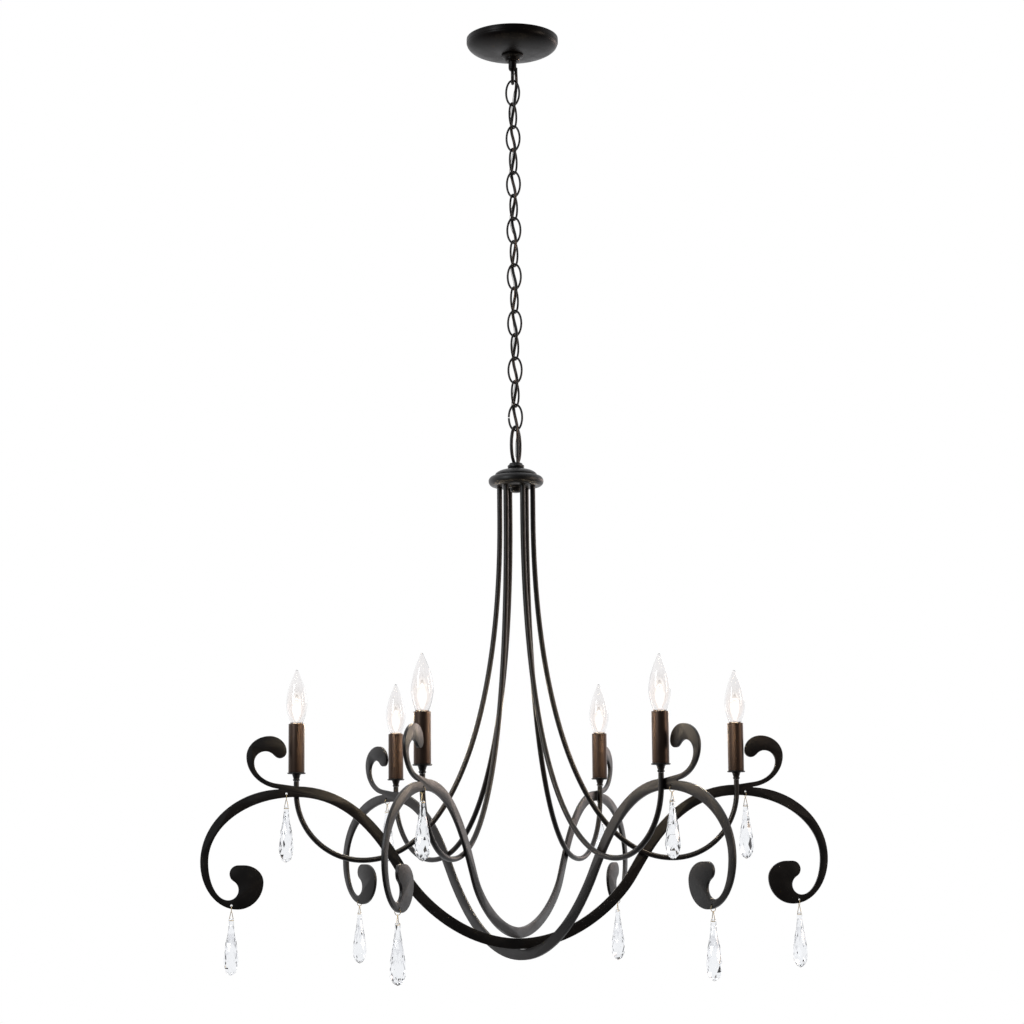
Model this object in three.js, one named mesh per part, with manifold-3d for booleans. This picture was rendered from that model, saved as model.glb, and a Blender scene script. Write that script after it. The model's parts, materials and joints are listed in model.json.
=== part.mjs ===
// A six-light chandelier: three flat scroll plates crossed under a hub, six bent
// arm tubes with candle lights, twelve crystal drops, and a chain to the ceiling.
// Units are millimetres, +Z is up, and the origin is the middle of the canopy's
// rim, where it meets the ceiling.
import * as THREE from 'three';
import { mergeVertices } from 'three/addons/utils/BufferGeometryUtils.js';
import Module from 'manifold-3d';

const wasm = await Module();
wasm.setup();

// ---------------------------------------------------------------- dimensions
const gap = 0.3;                    // clearance between pieces that touch
const turn = Math.PI / 3;           // angle between neighbouring arms
const armCount = 6;

// canopy and its fastenings
const canopyRadius = 70;
const canopyRim = 8;                // straight part of the rim
const canopyDepth = 26;
const canopyFlat = 20;              // radius of the flat middle
const canopyWall = 1.2;
const strapLength = 104;
const strapWidth = 20;
const strapThickness = 2.5;
const strapScrewOffset = 35;        // ceiling-box screw holes, from the middle
const strapScrewRadius = 2.4;
const nippleRadius = 5;
const collarRadius = 16.5;
const collarFlange = 2.6;
const collarHeight = 10;
const stemRadius = 6.1;
const stemLength = 15;              // below the collar
const canopyLoopWidth = 24;
const canopyLoopHeight = 26.8;
const canopyLoopWire = 2.5;         // radius

// chain; a yaw is the bearing of a ring's plane from +X
const linkCount = 15;
const linkLength = 42.7;
const linkWidth = 23.5;
const linkWire = 1.6;               // radius
const oddYaw = THREE.MathUtils.degToRad(-18.6);
const evenYaw = THREE.MathUtils.degToRad(51.4);
const canopyLoopYaw = THREE.MathUtils.degToRad(81.4);
const hubLoopYaw = THREE.MathUtils.degToRad(44.4);

// hub
const hubLoopWidth = 26;
const hubLoopHeight = 62.3;
const hubLoopWire = 2.5;            // radius
const hubLoopPlay = 1.3;             // between the loop and the last link
const hubCollarRadius = 12.5;
const hubCollarHeight = 8.5;
const hubDiscRadius = 31.5;
const hubDiscHeight = 11;
const hubBodyRadius = 41;
const hubBodyHeight = 16;
const hubNutRadius = 8.5;
const hubNutHeight = 9;
const armSeat = 9;                  // depth of each arm's socket in the hub

// supply cord, woven through the chain
const cordRadius = 2.3;
const cordSwing = 6.5;              // how far it stands off the chain's axis
const cordEntry = 5;                // depth it enters the stem and the collar

// scroll plates, drawn in their own plane: u outwards, w up from the height
// where the lower scroll is widest
const plateLevel = -1244.4;           // that height, from the ceiling
const plateThickness = 4.6;
const plateReach = 461;
const bandWidth = 11.5;             // of the scrolls
const archRise = 103;
const archDrop = 68;
const swoopWidth = 15.5;            // of the plate across the middle
const swoopBottom = -121;           // its centreline at the axis, middle plate
const swoopKnee = { u: 161.3, w: -31.2, slopeU: 21.4, slopeW: 31.4 };
const swoopFlat = 79.8;             // handle of the bend at the axis
const swoopTop = { u: 325, handle: 98 };
const scrollAxis = { outer: 344, lower: 407 };   // centres of the outer round's two arcs
const scrollNotch = { u: 420.5, w: -40.3, r: 14.4 };
const scrollNose = { u: 406.9, w: -17.4 };
const scrollEnd = { u: 370.5, w: -30, middle: 399 };   // the comma-shaped end
const curl = { back: 396.4, rise: 76.5, waist: 47, head: 338.5, foot: 342, crown: 363 };
const curlHead = { drop: 22.5, r: 9.6 };
const curlHollow = { u: 369, rise: 38.5, r: 16, foot: 345, depth: 31 };
const holeRadius = 1.6;             // for the crystals' rings
const upperHole = { u: 338.5, w: 96.4 };
const lowerHole = { u: 416, w: -62.2 };

// arms
const armRadius = 3.9;
const armStart = 24;                // distance from the axis at the hub
const armStraight = 45;             // straight drop under the hub
const armLean = { down: 300, out: 76 };   // handles of the long bend
const armLowest = { u: 227, z: -1244 };
const armRise = 98;                 // height of the turn up to the candle
const armSteps = 28;

// candles
const candleRadius = 324;         // from the axis
const candleLevel = -1119.5;         // underside of the flange
const flangeThickness = 2;
const knuckleRadius = 6.5;
const knuckleHeight = 10;
const sleeveRadius = 11.7;
const sleeveWall = 0.9;
const sleeveLength = 70.2;
const flangeRadius = sleeveRadius + 1.7;
const socketPlay = 1.2;             // between the lamp-holder and its sleeve
const socketDrop = 4.2;             // of the holder's top below the sleeve's
const bulbRadius = 15.4;
const bulbGlass = 79;               // glass above the sleeve
const bulbNeck = 6.1;
const bulbPlay = 0.5;               // between the lamp's neck and its socket
const socketBore = bulbNeck + bulbPlay;
const socketRadius = sleeveRadius - sleeveWall - socketPlay;
const socketHeight = sleeveLength - socketDrop;
const bulbBase = 20;                // below the top of the sleeve

// crystals
const crystalLength = 86;
const crystalRadius = 10.8;
const crystalHang = 12.5;           // from the hole down to the glass

// ----------------------------------------------------------------- materials
const satinBlack = new THREE.MeshStandardMaterial({ color: 0x1b1918, roughness: 0.45, metalness: 0.85 });
const bronze = new THREE.MeshStandardMaterial({ color: 0x2d1f19, roughness: 0.42, metalness: 0.8 });
const zincSteel = new THREE.MeshStandardMaterial({ color: 0x9a9c9e, roughness: 0.4, metalness: 1 });
const glass = new THREE.MeshStandardMaterial({ color: 0xfff3dc, roughness: 0.05, metalness: 0, opacity: 0.6, transparent: true });
const crystal = new THREE.MeshStandardMaterial({ color: 0xf2f6fa, roughness: 0.02, metalness: 0, opacity: 0.6, transparent: true });
const cordJacket = new THREE.MeshStandardMaterial({ color: 0x0d0d0d, roughness: 0.6, metalness: 0 });

// ------------------------------------------------------------------- helpers
const group = new THREE.Group();

function addPiece(name, geometry, material, place = {}) {
  const mesh = new THREE.Mesh(geometry, material);
  mesh.name = name;
  mesh.position.set(place.x ?? 0, place.y ?? 0, place.z ?? 0);
  mesh.rotation.z = place.yaw ?? 0;
  (place.parent ?? group).add(mesh);
  return mesh;
}

function toSolid(geometry) {
  const bare = geometry.clone();
  bare.deleteAttribute('normal');
  bare.deleteAttribute('uv');
  const merged = mergeVertices(bare, 1e-4);
  const mesh = new wasm.Mesh({
    numProp: 3,
    vertProperties: new Float32Array(merged.attributes.position.array),
    triVerts: new Uint32Array(merged.index.array),
  });
  return new wasm.Manifold(mesh);
}

function fromSolid(solid) {
  const mesh = solid.getMesh();
  const geometry = new THREE.BufferGeometry();
  geometry.setAttribute('position', new THREE.BufferAttribute(new Float32Array(mesh.vertProperties), 3));
  geometry.setIndex(new THREE.BufferAttribute(new Uint32Array(mesh.triVerts), 1));
  geometry.computeVertexNormals();
  return geometry;
}

// a turned shape about Z from [radius, z] pairs
function turned(profile, sides) {
  const points = profile.map(([radius, z]) => new THREE.Vector2(radius, z));
  const lathe = new THREE.LatheGeometry(points, sides);
  lathe.rotateX(Math.PI / 2);
  return lathe;
}

function rod(radius, z0, z1, sides = 16) {
  return turned([[0, z0], [radius, z0], [radius, z1], [0, z1]], sides);
}

// a round bar along a curve, with flat ends
function barAlong(curve, radius, steps, sides) {
  const section = new THREE.Shape();
  for (let i = 0; i < sides; i++) {
    const a = (i / sides) * 2 * Math.PI;
    const [x, y] = [radius * Math.cos(a), radius * Math.sin(a)];
    if (i === 0) section.moveTo(x, y);
    else section.lineTo(x, y);
  }
  return new THREE.ExtrudeGeometry(section, { steps, extrudePath: curve, bevelEnabled: false });
}

// a closed oval ring of round wire standing in the XZ plane
function ovalRing(width, height, wire, around, sides) {
  const round = width + height;       // radius of the round ring it is bent from
  const ring = new THREE.TorusGeometry(round, wire, sides, around);
  const position = ring.attributes.position;
  const [a, b] = [width / 2 - wire, height / 2 - wire];
  for (let i = 0; i < position.count; i++) {
    const [x, y, z] = [position.getX(i), position.getY(i), position.getZ(i)];
    const phi = Math.atan2(y, x);
    const out = Math.hypot(x, y) - round;
    const normal = new THREE.Vector2(Math.cos(phi) / a, Math.sin(phi) / b).normalize();
    position.setXYZ(i, a * Math.cos(phi) + out * normal.x, -z, b * Math.sin(phi) + out * normal.y);
  }
  return ring;
}

// -------------------------------------------------------------------- levels
const collarTop = -canopyDepth - gap;
const stemTop = collarTop - collarHeight;
const stemBottom = stemTop - stemLength;
const canopyLoopMiddle = stemBottom - canopyLoopHeight / 2 + 2 * canopyLoopWire;
const canopyLoopSeat = canopyLoopMiddle - canopyLoopHeight / 2 + canopyLoopWire;
const linkReach = linkLength / 2 - linkWire;      // centre to the wire at its end
const linkPitch = 2 * linkReach - 2 * linkWire - gap;
const firstLink = canopyLoopSeat + canopyLoopWire + linkWire + gap - linkReach;
const lastSeat = firstLink - (linkCount - 1) * linkPitch - linkReach;
const hubLoopTop = lastSeat + linkWire + hubLoopPlay + 2 * hubLoopWire;
const hubLoopMiddle = hubLoopTop - hubLoopHeight / 2;
const hubCollarTop = hubLoopTop - hubLoopHeight + 2 * hubLoopWire;
const hubTop = hubCollarTop - hubCollarHeight - gap;
const hubMiddle = hubTop - hubDiscHeight - hubBodyHeight / 2;
const hubUnderside = hubMiddle - hubBodyHeight / 2;
const armOffset = plateThickness / 2 + armRadius + gap;
const sleeveTop = candleLevel + flangeThickness + gap + sleeveLength;

// -------------------------------------------------------------------- canopy
function canopyShell() {
  const quarter = 7;
  const bowl = (wall) => {
    const points = [];
    const [a, b] = [canopyRadius - canopyFlat - wall, canopyDepth - canopyRim - wall];
    for (let i = 0; i <= quarter; i++) {
      const angle = (i / quarter) * (Math.PI / 2);
      points.push([canopyFlat + a * Math.cos(angle), -canopyRim - b * Math.sin(angle)]);
    }
    return points;
  };
  const outside = [[canopyRadius, 0], ...bowl(0)].reverse();
  const inside = [...bowl(canopyWall)];
  const bore = nippleRadius + gap;
  return turned([
    [bore, -canopyDepth], ...outside,
    [canopyRadius - canopyWall, 0], ...inside,
    [bore, -canopyDepth + canopyWall], [bore, -canopyDepth],
  ], 28);
}

function mountingStrap() {
  let strap = toSolid(new THREE.BoxGeometry(strapLength, strapWidth, strapThickness)
    .translate(0, 0, -strapThickness / 2));
  strap = strap.subtract(toSolid(rod(nippleRadius + gap, -strapThickness - 1, 1)));
  for (const side of [-1, 1]) {
    const screwHole = rod(strapScrewRadius, -strapThickness - 1, 1, 12);
    strap = strap.subtract(toSolid(screwHole.translate(side * strapScrewOffset, 0, 0)));
  }
  return fromSolid(strap);
}

// the threaded nipple, the collar that holds the canopy up, and the loop
function canopyLoop() {
  const spindle = turned([
    [0, stemBottom], [stemRadius, stemBottom], [stemRadius, stemTop],
    [collarRadius * 0.62, stemTop], [collarRadius * 0.72, stemTop + 1.5],
    [collarRadius, collarTop - collarFlange], [collarRadius, collarTop],
    [nippleRadius, collarTop], [nippleRadius, 0], [0, 0],
  ], 16);
  const ring = ovalRing(canopyLoopWidth, canopyLoopHeight, canopyLoopWire, 16, 6)
    .rotateZ(canopyLoopYaw).translate(0, 0, canopyLoopMiddle);
  const [x, y] = cordStart;
  const slot = rod(cordRadius + 2 * gap, stemBottom - 1, stemBottom + cordEntry + gap, 12).translate(x, y, 0);
  return fromSolid(toSolid(spindle).add(toSolid(ring)).subtract(toSolid(slot)));
}

// --------------------------------------------------------------------- chain
const linkYaw = (index) => (index % 2 === 0 ? oddYaw : evenYaw);
const linkMiddle = (index) => firstLink - index * linkPitch;

function addChain() {
  for (let i = 0; i < linkCount; i++) {
    const link = ovalRing(linkWidth, linkLength, linkWire, 16, 6);
    const name = `chain_link_${String(i + 1).padStart(2, '0')}`;
    addPiece(name, link, satinBlack, { z: linkMiddle(i), yaw: linkYaw(i) });
  }
}

// bearings at which the cord passes the meeting rings: halfway between their planes
const cordYaw = (oddYaw + evenYaw) / 2 - Math.PI / 2;
const cordTopYaw = (canopyLoopYaw + oddYaw) / 2;
const cordStart = bearing(canopyLoopYaw - Math.PI / 2, canopyLoopWire + cordRadius + 2 * gap);
const cordEnd = bearing(cordYaw, cordSwing);

function bearing(yaw, distance) {
  return [distance * Math.cos(yaw), distance * Math.sin(yaw)];
}

// The cord passes through every link, from one side of the chain's axis to the
// other, and is furthest from the axis where two links meet.
function supplyCord() {
  const points = [];
  const along = ([x, y], z) => points.push(new THREE.Vector3(x, y, z));
  along(cordStart, stemBottom + cordEntry);
  along(cordStart, stemBottom - 2);
  along(bearing(cordTopYaw, cordSwing + 1), firstLink + linkPitch / 2);
  for (let i = 1; i <= linkCount; i++) {
    const side = i % 2 === 0 ? -1 : 1;
    along(bearing(cordYaw, side * cordSwing), firstLink + linkPitch / 2 - i * linkPitch);
  }
  along(cordEnd, hubCollarTop + 16);
  along(cordEnd, hubCollarTop + 4);
  along(cordEnd, hubCollarTop - cordEntry);
  return barAlong(new THREE.CatmullRomCurve3(points, false, 'centripetal'), cordRadius, 64, 8);
}

// ----------------------------------------------------------------------- hub
function hubLoop() {
  const ring = ovalRing(hubLoopWidth, hubLoopHeight, hubLoopWire, 20, 6)
    .rotateZ(hubLoopYaw).translate(0, 0, hubLoopMiddle);
  const bottom = hubCollarTop - hubCollarHeight;
  const collar = turned([
    [0, bottom], [hubCollarRadius * 0.9, bottom], [hubCollarRadius, bottom + 2],
    [hubCollarRadius, hubCollarTop - 2.5], [hubCollarRadius * 0.75, hubCollarTop], [0, hubCollarTop],
  ], 16);
  const [x, y] = cordEnd;
  const socket = rod(cordRadius + gap, hubCollarTop - cordEntry - gap, hubCollarTop + 1, 12).translate(x, y, 0);
  return fromSolid(toSolid(ring).add(toSolid(collar)).subtract(toSolid(socket)));
}

function hubBody() {
  const bead = hubBodyHeight / 2;
  const beadCentre = hubBodyRadius - bead;
  const side = [];
  for (let i = 0; i <= 6; i++) {
    const angle = Math.PI / 2 - (i / 6) * Math.PI;
    side.push([beadCentre + bead * Math.cos(angle), hubMiddle + bead * Math.sin(angle)]);
  }
  const discBottom = hubTop - hubDiscHeight;
  let body = toSolid(turned([
    [0, hubTop], [hubCollarRadius, hubTop], [hubDiscRadius * 0.75, hubTop - 3],
    [hubDiscRadius * 0.95, hubTop - 6], [hubDiscRadius, hubTop - 8], [hubDiscRadius * 0.96, discBottom],
    ...side,
    [hubNutRadius + 2, hubUnderside], [hubNutRadius, hubUnderside - 1.5],
    [hubNutRadius, hubUnderside - hubNutHeight + 2], [hubNutRadius * 0.6, hubUnderside - hubNutHeight],
    [0, hubUnderside - hubNutHeight],
  ].reverse(), 28));
  for (let i = 0; i < armCount; i++) {
    const socket = rod(armRadius + gap, hubUnderside - 1, hubUnderside + armSeat + gap, 10)
      .translate(armStart, -armOffset, 0).rotateZ(i * turn);
    body = body.subtract(toSolid(socket));
  }
  return fromSolid(body);
}

// ------------------------------------------------------------- scroll plates
// centreline of the plate's middle part, from the axis up to the crossing arch
function swoopCurve(bottom) {
  const { u, w, slopeU, slopeW } = swoopKnee;
  const level = archRise - bandWidth + swoopWidth / 2;
  const flat = swoopFlat - (bottom - swoopBottom) * 0.4;
  const point = (x, y) => new THREE.Vector2(x, y);
  const path = new THREE.CurvePath();
  path.add(new THREE.CubicBezierCurve(
    point(0, bottom), point(flat, bottom), point(u - slopeU, w - slopeW), point(u, w)));
  path.add(new THREE.CubicBezierCurve(
    point(u, w), point(u + slopeU, w + slopeW),
    point(swoopTop.u - swoopTop.handle, level), point(swoopTop.u, level)));
  return path;
}

// one edge of the middle part, offset from its centreline
function swoopEdge(bottom, side) {
  const curve = swoopCurve(bottom);
  const steps = 16;
  const points = [];
  for (let i = 0; i <= steps; i++) {
    const point = curve.getPoint(i / steps);
    const along = curve.getTangent(i / steps);
    points.push(new THREE.Vector2(
      point.x - side * along.y * swoopWidth / 2,
      point.y + side * along.x * swoopWidth / 2));
  }
  points[0].x = 0;
  return points;
}

// half of a plate's outline, from the axis out along its lower edge, round both
// scrolls and back along its upper edge
function halfOutline(bottom) {
  const deg = Math.PI / 180;
  const path = new THREE.Path();
  const arc = (u, w, a, b, from, to) => path.absellipse(u, w, a, b, from * deg, to * deg, to < from, 0);
  const lower = swoopEdge(bottom, -1);
  const upper = swoopEdge(bottom, 1).reverse();

  const archBelow = archRise - bandWidth;
  const innerReach = plateReach - bandWidth;
  const last = lower[lower.length - 1];
  path.moveTo(lower[0].x, lower[0].y);
  for (const point of lower.slice(1, -1)) path.lineTo(point.x, point.y);

  // inside of the lower scroll, round its notch and its rounded nose
  const [notch, nose] = [scrollNotch, scrollNose];
  const noseRadius = Math.hypot(notch.u - nose.u, notch.w - nose.w) - notch.r;
  const noseAngle = Math.atan2(nose.w - notch.w, nose.u - notch.u) / deg;
  arc(last.x, 0, innerReach - last.x, archBelow, 90, 0);
  arc(notch.u, 0, innerReach - notch.u, notch.r - notch.w, 0, -90);
  arc(notch.u, notch.w, notch.r, notch.r, 270, noseAngle);
  arc(nose.u, nose.w, noseRadius, noseRadius, noseAngle - 180, 90);

  // round the comma-shaped end and out round the scroll's outside
  const { outer, lower: under } = scrollAxis;
  const end = scrollEnd;
  arc(end.middle, end.w, end.middle - end.u, nose.w + noseRadius - end.w, 90, 180);
  arc(under, end.w, under - end.u, archDrop + end.w, 180, 270);
  arc(under, 0, plateReach - under, archDrop, 270, 360);
  arc(outer, 0, plateReach - outer, archRise, 0, 87);

  // upper curl: out round its back, over the top and round its head
  const [waist, top] = [archRise + curl.waist, archRise + curl.rise];
  arc(curl.foot, waist, curl.back - curl.foot, curl.waist, 278, 360);
  arc(curl.crown, waist, curl.back - curl.crown, top - waist, 0, 90);
  const headLevel = top - curlHead.drop;
  const headMiddle = curl.head + curlHead.r;
  const hollow = { u: curlHollow.u, w: archRise + curlHollow.rise, r: curlHollow.r };
  arc(curl.crown, headLevel, curl.crown - curl.head, curlHead.drop, 90, 180);
  const headAngle = Math.atan2(hollow.w - headLevel, hollow.u - headMiddle) / deg;
  arc(headMiddle, headLevel, curlHead.r, curlHead.r, 180, 360 + headAngle);
  arc(hollow.u, hollow.w, hollow.r, hollow.r, 180 + headAngle, 0);
  arc(curlHollow.foot, hollow.w, hollow.u + hollow.r - curlHollow.foot, curlHollow.depth, 0, -82);
  for (const point of upper) path.lineTo(point.x, point.y);

  // a point for each step of an arc, with repeats left out
  const points = path.getPoints(3);
  return points.filter((point, i) => i === 0 || point.distanceTo(points[i - 1]) > 0.05);
}

function ringHoles() {
  const holes = [];
  for (const side of [-1, 1]) {
    for (const { u, w } of [upperHole, lowerHole]) {
      const hole = new THREE.Path();
      hole.absarc(side * u, w, holeRadius, 0, 2 * Math.PI, true);
      holes.push(hole);
    }
  }
  return holes;
}

function scrollPlate(bottom) {
  const right = halfOutline(bottom);
  const left = right.slice(1, -1).reverse().map((point) => new THREE.Vector2(-point.x, point.y));
  const shape = new THREE.Shape([...right, ...left]);
  shape.holes = ringHoles();
  const plate = new THREE.ExtrudeGeometry(shape, {
    depth: plateThickness, bevelEnabled: false, curveSegments: 3, steps: 1,
  });
  return plate.translate(0, 0, -plateThickness / 2).rotateX(Math.PI / 2);
}

// The three plates cross at the axis, one on top of the other.
function addPlates() {
  const stack = swoopWidth + gap;
  const plates = [['scroll_plate_upper', 1, 1], ['scroll_plate_middle', 0, 0], ['scroll_plate_lower', -1, -1]];
  for (const [name, turns, level] of plates) {
    const plate = scrollPlate(swoopBottom + level * stack);
    addPiece(name, plate, satinBlack, { z: plateLevel, yaw: turns * turn });
  }
}

// ---------------------------------------------------------------------- arms
// the arm's centreline in the XZ plane
function armCurve() {
  const path = new THREE.CurvePath();
  const point = (u, z) => new THREE.Vector3(u, -armOffset, z);
  const top = hubUnderside + armSeat;
  const bend = hubUnderside - armStraight;
  const turnUp = candleRadius - armLowest.u;
  const riseTop = armLowest.z + armRise;
  const round = 0.5523;             // handle of a cubic quarter circle
  path.add(new THREE.LineCurve3(point(armStart, top), point(armStart, bend)));
  path.add(new THREE.CubicBezierCurve3(
    point(armStart, bend), point(armStart, bend - armLean.down),
    point(armStart + armLean.out, armLowest.z), point(armLowest.u, armLowest.z)));
  path.add(new THREE.CubicBezierCurve3(
    point(armLowest.u, armLowest.z), point(armLowest.u + round * turnUp, armLowest.z),
    point(candleRadius, riseTop - round * armRise), point(candleRadius, riseTop)));
  path.add(new THREE.LineCurve3(
    point(candleRadius, riseTop), point(candleRadius, candleLevel - knuckleHeight - gap)));
  return path;
}

function addArm(index, parent) {
  addPiece(`arm_${index + 1}`, barAlong(armCurve(), armRadius, armSteps, 8), satinBlack, { parent });
}

// ------------------------------------------------------------------- candles
// flange, turned knuckle and the lamp-holder that the sleeve hides
function candleCup() {
  const holderTop = candleLevel + flangeThickness + socketHeight;
  const boreBottom = sleeveTop - bulbBase - gap;
  return turned([
    [0, candleLevel - knuckleHeight], [armRadius + 0.6, candleLevel - knuckleHeight],
    [armRadius + 0.9, candleLevel - knuckleHeight * 0.6], [knuckleRadius, candleLevel - 1.5],
    [knuckleRadius, candleLevel], [flangeRadius, candleLevel],
    [flangeRadius, candleLevel + flangeThickness], [socketRadius, candleLevel + flangeThickness],
    [socketRadius, holderTop], [socketBore, holderTop], [socketBore, boreBottom], [0, boreBottom],
  ], 12);
}

function candleSleeve() {
  const bottom = candleLevel + flangeThickness + gap;
  const inner = sleeveRadius - sleeveWall;
  return turned([
    [inner, bottom], [sleeveRadius, bottom], [sleeveRadius, sleeveTop], [inner, sleeveTop], [inner, bottom],
  ], 16);
}

// a candle-shaped lamp with its screw base
function candleBulb() {
  const seat = sleeveTop + gap;
  const tip = sleeveTop + bulbGlass;
  const shape = [[0, 0.64], [0.12, 0.88], [0.3, 1], [0.45, 0.95], [0.6, 0.79], [0.75, 0.56], [0.88, 0.3], [0.96, 0.13]];
  return turned([
    [0, sleeveTop - bulbBase], [bulbNeck * 0.5, sleeveTop - bulbBase], [bulbNeck, sleeveTop - bulbBase + 2],
    [bulbNeck, seat],
    ...shape.map(([height, width]) => [bulbRadius * width, seat + height * (tip - seat)]),
    [0, tip],
  ], 12);
}

// ------------------------------------------------------------------ crystals
// a facetted drop that hangs down from its own top at the origin
function crystalDrop() {
  const sides = 6;
  const rings = [[0, 0.22], [0.1, 0.2], [0.3, 0.36], [0.55, 0.82], [0.74, 1], [0.9, 0.72], [0.97, 0.36]];
  const profile = rings.map(([down, width]) => [width * crystalRadius, -down * crystalLength]);
  return turned([[0, -crystalLength], ...profile.reverse(), [0, 0]], sides);
}

function addArmGroup(index) {
  const side = new THREE.Group();
  side.rotation.z = index * turn;
  group.add(side);
  addArm(index, side);
  const number = index + 1;
  const candle = { x: candleRadius, y: -armOffset, parent: side };
  addPiece(`candle_cup_${number}`, candleCup(), satinBlack, candle);
  addPiece(`candle_sleeve_${number}`, candleSleeve(), bronze, candle);
  addPiece(`bulb_${number}`, candleBulb(), glass, candle);
  for (const [label, hole] of [['upper', upperHole], ['lower', lowerHole]]) {
    const z = plateLevel + hole.w - crystalHang;
    addPiece(`crystal_${label}_${number}`, crystalDrop(), crystal, { x: hole.u, z, parent: side });
  }
}

// ------------------------------------------------------------------ assembly
addPiece('canopy', canopyShell(), satinBlack);
addPiece('mounting_strap', mountingStrap(), zincSteel);
addPiece('canopy_loop', canopyLoop(), satinBlack);
addChain();
addPiece('supply_cord', supplyCord(), cordJacket);
addPiece('hub_loop', hubLoop(), satinBlack);
addPiece('hub_body', hubBody(), satinBlack);
addPlates();
for (let i = 0; i < armCount; i++) addArmGroup(i);

export default group;
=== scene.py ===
"""The finished pieces of a six-light scroll chandelier, built round its packed frame.

Lengths are in metres in the frame's own axes: +Z is up, the ceiling is at z = 0 and the
middle scroll plate lies along X. Pieces take their places from the frame's nodes and joints.
"""
import json
import math

import bmesh
import bpy
from bpy.props import FloatProperty, FloatVectorProperty, IntProperty, PointerProperty
from bpy.types import Operator, Panel, PropertyGroup
from mathutils import Matrix, Vector
from mathutils.geometry import interpolate_bezier


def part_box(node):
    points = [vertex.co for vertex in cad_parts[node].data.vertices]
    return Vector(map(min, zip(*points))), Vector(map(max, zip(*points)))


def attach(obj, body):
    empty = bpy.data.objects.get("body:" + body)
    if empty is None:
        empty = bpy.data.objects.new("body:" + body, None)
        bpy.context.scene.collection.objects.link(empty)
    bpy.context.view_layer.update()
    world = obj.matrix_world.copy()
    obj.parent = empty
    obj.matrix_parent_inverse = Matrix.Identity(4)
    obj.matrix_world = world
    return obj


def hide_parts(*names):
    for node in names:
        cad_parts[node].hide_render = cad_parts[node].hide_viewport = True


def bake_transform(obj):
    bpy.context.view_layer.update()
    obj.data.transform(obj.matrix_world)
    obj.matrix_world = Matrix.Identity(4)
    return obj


bl_info = {
    "name": "Scroll chandelier",
    "version": (1, 0, 0),
    "blender": (4, 5, 0),
    "location": "3D View > Sidebar > Chandelier",
    "description": "Builds the finished pieces of a six-light scroll chandelier round its frame",
    "category": "Add Mesh",
}

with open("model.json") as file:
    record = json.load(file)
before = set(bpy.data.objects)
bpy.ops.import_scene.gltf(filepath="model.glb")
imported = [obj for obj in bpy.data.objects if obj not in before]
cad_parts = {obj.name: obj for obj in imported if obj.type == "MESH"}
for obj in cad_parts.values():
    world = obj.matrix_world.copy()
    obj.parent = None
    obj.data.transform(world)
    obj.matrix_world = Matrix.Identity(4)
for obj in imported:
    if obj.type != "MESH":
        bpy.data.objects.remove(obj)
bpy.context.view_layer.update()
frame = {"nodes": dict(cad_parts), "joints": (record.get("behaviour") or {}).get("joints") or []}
joints = {joint["name"]: joint for joint in frame["joints"]}
link_count = sum(1 for node in frame["nodes"] if node.startswith("chain_link_"))
arm_count = sum(1 for node in frame["nodes"] if node.startswith("arm_"))
GAP = 0.0003        # air between neighbouring pieces


# --- settings
def length(name, millimetres, about):
    """A length, given in millimetres."""
    return FloatProperty(name=name, description=about, default=millimetres / 1000,
                         precision=5, unit="LENGTH")


def colour(name, default, about):
    """A linear colour."""
    return FloatVectorProperty(name=name, description=about, default=default,
                               subtype="COLOR", size=3, min=0, max=1)


def angle(name, degrees, about):
    """An angle, given in degrees."""
    return FloatProperty(name=name, description=about, default=math.radians(degrees),
                         subtype="ANGLE", unit="ROTATION")


class CanopySizes(PropertyGroup):
    """The bowl at the ceiling with its collar"""
    rim: length("Rim", 8, "Straight part of the rim")
    flat: length("Flat", 20, "Radius of the flat middle")
    wall: length("Wall", 1.2, "Sheet thickness")
    step: length("Step", 0.7, "How far the bowl stands inside the rim")
    nipple: length("Nipple", 5, "Radius of the threaded nipple")
    collar: length("Collar", 16.5, "Radius of the collar's flange")
    collar_height: length("Collar height", 10, "From the canopy to the stem")
    stem: length("Stem", 6.1, "Radius of the stem under the collar")
    stem_length: length("Stem length", 15, "From the collar to the loop")
    loop_width: length("Loop width", 24, "Outside width of the loop")
    loop_height: length("Loop height", 26.8, "Outside height of the loop")


class ChainSizes(PropertyGroup):
    """The links, the cord and the ground wire"""
    link_length: length("Link length", 42.7, "Outside length of a link")
    link_width: length("Link width", 23.5, "Outside width of a link")
    link_wire: length("Link wire", 1.6, "Radius of a link's wire")
    loop_wire: length("Loop wire", 2.5, "Radius of the loops at both ends")
    split: length("Split", 1.1, "Gap where the last link opens")
    cord: length("Cord", 2.3, "Radius of the supply cord")
    swing: length("Cord swing", 6.5, "How far the cord stands off the chain's axis")
    entry: length("Cord entry", 5, "Depth that the cord enters its fittings")
    ground: length("Ground wire", 0.38, "Radius of the bare ground wire")


class HubSizes(PropertyGroup):
    """The turned hub and the tall loop over it"""
    loop_width: length("Loop width", 26, "Outside width of the loop")
    loop_height: length("Loop height", 62.3, "Outside height of the loop")
    loop_turn: angle("Loop turn", 44.4, "Bearing of the loop's plane from X")
    collar: length("Collar", 12.5, "Radius of the collar under the loop")
    disc: length("Disc", 31.5, "Radius of the stepped disc")
    disc_height: length("Disc height", 11, "Height of the stepped disc")
    body: length("Body", 41, "Radius of the round body")
    body_height: length("Body height", 16, "Height of the round body")
    nut: length("Nut", 8.5, "Radius of the nut underneath")


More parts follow.
